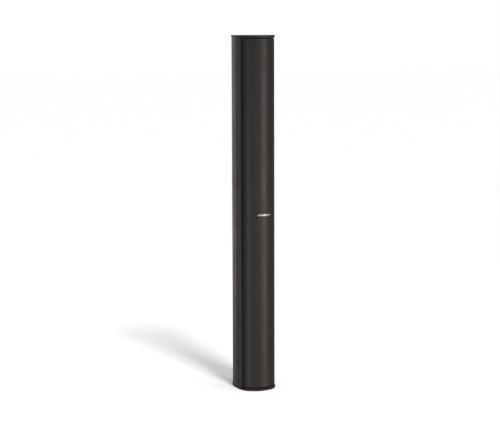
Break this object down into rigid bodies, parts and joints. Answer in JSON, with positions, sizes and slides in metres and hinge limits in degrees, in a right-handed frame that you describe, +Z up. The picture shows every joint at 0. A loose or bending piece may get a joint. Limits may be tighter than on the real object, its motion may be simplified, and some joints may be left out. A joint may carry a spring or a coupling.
{
  "type": "column loudspeaker",
  "caption": "Slim floor-standing column loudspeaker with a bowed perforated grille, end caps and a line of small drivers.",
  "frame": {"origin": "centre of the bounding box's bottom face, on the floor", "axes": "+Z up along the column, front faces -Y, X across"},
  "size_m": [0.107, 0.134, 0.983],
  "materials": {
    "shell_coat": "matte",
    "cap_plastic": "matte",
    "grille_coat": "matte",
    "scrim_cloth": "matte",
    "badge_metal": "satin",
    "baffle_coat": "matte",
    "gasket_foam": "matte",
    "screw_black": "satin",
    "screw_zinc": "satin",
    "clip_steel": "satin",
    "basket_steel": "satin",
    "motor_steel": "satin",
    "cone_paper": "matte",
    "surround_rubber": "matte",
    "spider_cloth": "matte",
    "panel_metal": "satin",
    "socket_plastic": "satin",
    "insert_brass": "satin",
    "pad_foam": "matte",
    "loom_pvc": "satin"
  },
  "bodies": {
    "column": {"badge": "badge_metal", "baffle_gaskets": "gasket_foam", "baffle_screws": "screw_zinc", "bottom_end_cap": "cap_plastic", "bracket_inserts": "insert_brass", "cap_gaskets": "gasket_foam", "cap_screws": "screw_black", "cone_surrounds": "surround_rubber", "damping_pads": "pad_foam", "driver_01_basket": "basket_steel", "driver_01_motor": "motor_steel", "driver_02_basket": "basket_steel", "driver_02_motor": "motor_steel", "driver_03_basket": "basket_steel", "driver_03_motor": "motor_steel", "driver_04_basket": "basket_steel", "driver_04_motor": "motor_steel", "driver_05_basket": "basket_steel", "driver_05_motor": "motor_steel", "driver_06_basket": "basket_steel", "driver_06_motor": "motor_steel", "driver_07_basket": "basket_steel", "driver_07_motor": "motor_steel", "driver_08_basket": "basket_steel", "driver_08_motor": "motor_steel", "driver_09_basket": "basket_steel", "driver_09_motor": "motor_steel", "driver_10_basket": "basket_steel", "driver_10_motor": "motor_steel", "driver_11_basket": "basket_steel", "driver_11_motor": "motor_steel", "driver_12_basket": "basket_steel", "driver_12_motor": "motor_steel", "driver_gaskets": "gasket_foam", "driver_screws": "screw_zinc", "enclosure_shell": "shell_coat", "front_baffle": "baffle_coat", "grille": "grille_coat", "grille_clips": "clip_steel", "grille_scrim": "scrim_cloth", "input_panel": "panel_metal", "input_panel_gasket": "gasket_foam", "input_socket": "socket_plastic", "panel_screws": "screw_black", "spiders": "spider_cloth", "through_socket": "socket_plastic", "top_end_cap": "cap_plastic", "wiring_loom": "loom_pvc"},
    "cone_01": {"driver_01_cone": "cone_paper"},
    "cone_02": {"driver_02_cone": "cone_paper"},
    "cone_03": {"driver_03_cone": "cone_paper"},
    "cone_04": {"driver_04_cone": "cone_paper"},
    "cone_05": {"driver_05_cone": "cone_paper"},
    "cone_06": {"driver_06_cone": "cone_paper"},
    "cone_07": {"driver_07_cone": "cone_paper"},
    "cone_08": {"driver_08_cone": "cone_paper"},
    "cone_09": {"driver_09_cone": "cone_paper"},
    "cone_10": {"driver_10_cone": "cone_paper"},
    "cone_11": {"driver_11_cone": "cone_paper"},
    "cone_12": {"driver_12_cone": "cone_paper"}
  },
  "joints": [
    {"name": "cone_01_travel", "type": "slide", "parent": "column", "child": "cone_01", "axis": [0, -1, 0], "range_m": [-0.0025, 0.0025], "stiffness_N_per_m": 1400, "deforming": ["cone_surrounds", "spiders"]},
    {"name": "cone_02_travel", "type": "slide", "parent": "column", "child": "cone_02", "axis": [0, -1, 0], "range_m": [-0.0025, 0.0025], "stiffness_N_per_m": 1400},
    {"name": "cone_03_travel", "type": "slide", "parent": "column", "child": "cone_03", "axis": [0, -1, 0], "range_m": [-0.0025, 0.0025], "stiffness_N_per_m": 1400},
    {"name": "cone_04_travel", "type": "slide", "parent": "column", "child": "cone_04", "axis": [0, -1, 0], "range_m": [-0.0025, 0.0025], "stiffness_N_per_m": 1400},
    {"name": "cone_05_travel", "type": "slide", "parent": "column", "child": "cone_05", "axis": [0, -1, 0], "range_m": [-0.0025, 0.0025], "stiffness_N_per_m": 1400},
    {"name": "cone_06_travel", "type": "slide", "parent": "column", "child": "cone_06", "axis": [0, -1, 0], "range_m": [-0.0025, 0.0025], "stiffness_N_per_m": 1400},
    {"name": "cone_07_travel", "type": "slide", "parent": "column", "child": "cone_07", "axis": [0, -1, 0], "range_m": [-0.0025, 0.0025], "stiffness_N_per_m": 1400},
    {"name": "cone_08_travel", "type": "slide", "parent": "column", "child": "cone_08", "axis": [0, -1, 0], "range_m": [-0.0025, 0.0025], "stiffness_N_per_m": 1400},
    {"name": "cone_09_travel", "type": "slide", "parent": "column", "child": "cone_09", "axis": [0, -1, 0], "range_m": [-0.0025, 0.0025], "stiffness_N_per_m": 1400},
    {"name": "cone_10_travel", "type": "slide", "parent": "column", "child": "cone_10", "axis": [0, -1, 0], "range_m": [-0.0025, 0.0025], "stiffness_N_per_m": 1400},
    {"name": "cone_11_travel", "type": "slide", "parent": "column", "child": "cone_11", "axis": [0, -1, 0], "range_m": [-0.0025, 0.0025], "stiffness_N_per_m": 1400},
    {"name": "cone_12_travel", "type": "slide", "parent": "column", "child": "cone_12", "axis": [0, -1, 0], "range_m": [-0.0025, 0.0025], "stiffness_N_per_m": 1400}
  ],
  "couplings": [
    {"joint": "cone_02_travel", "follows": "cone_01_travel", "ratio": 1},
    {"joint": "cone_03_travel", "follows": "cone_01_travel", "ratio": 1},
    {"joint": "cone_04_travel", "follows": "cone_01_travel", "ratio": 1},
    {"joint": "cone_05_travel", "follows": "cone_01_travel", "ratio": 1},
    {"joint": "cone_06_travel", "follows": "cone_01_travel", "ratio": 1},
    {"joint": "cone_07_travel", "follows": "cone_01_travel", "ratio": 1},
    {"joint": "cone_08_travel", "follows": "cone_01_travel", "ratio": 1},
    {"joint": "cone_09_travel", "follows": "cone_01_travel", "ratio": 1},
    {"joint": "cone_10_travel", "follows": "cone_01_travel", "ratio": 1},
    {"joint": "cone_11_travel", "follows": "cone_01_travel", "ratio": 1},
    {"joint": "cone_12_travel", "follows": "cone_01_travel", "ratio": 1}
  ]
}
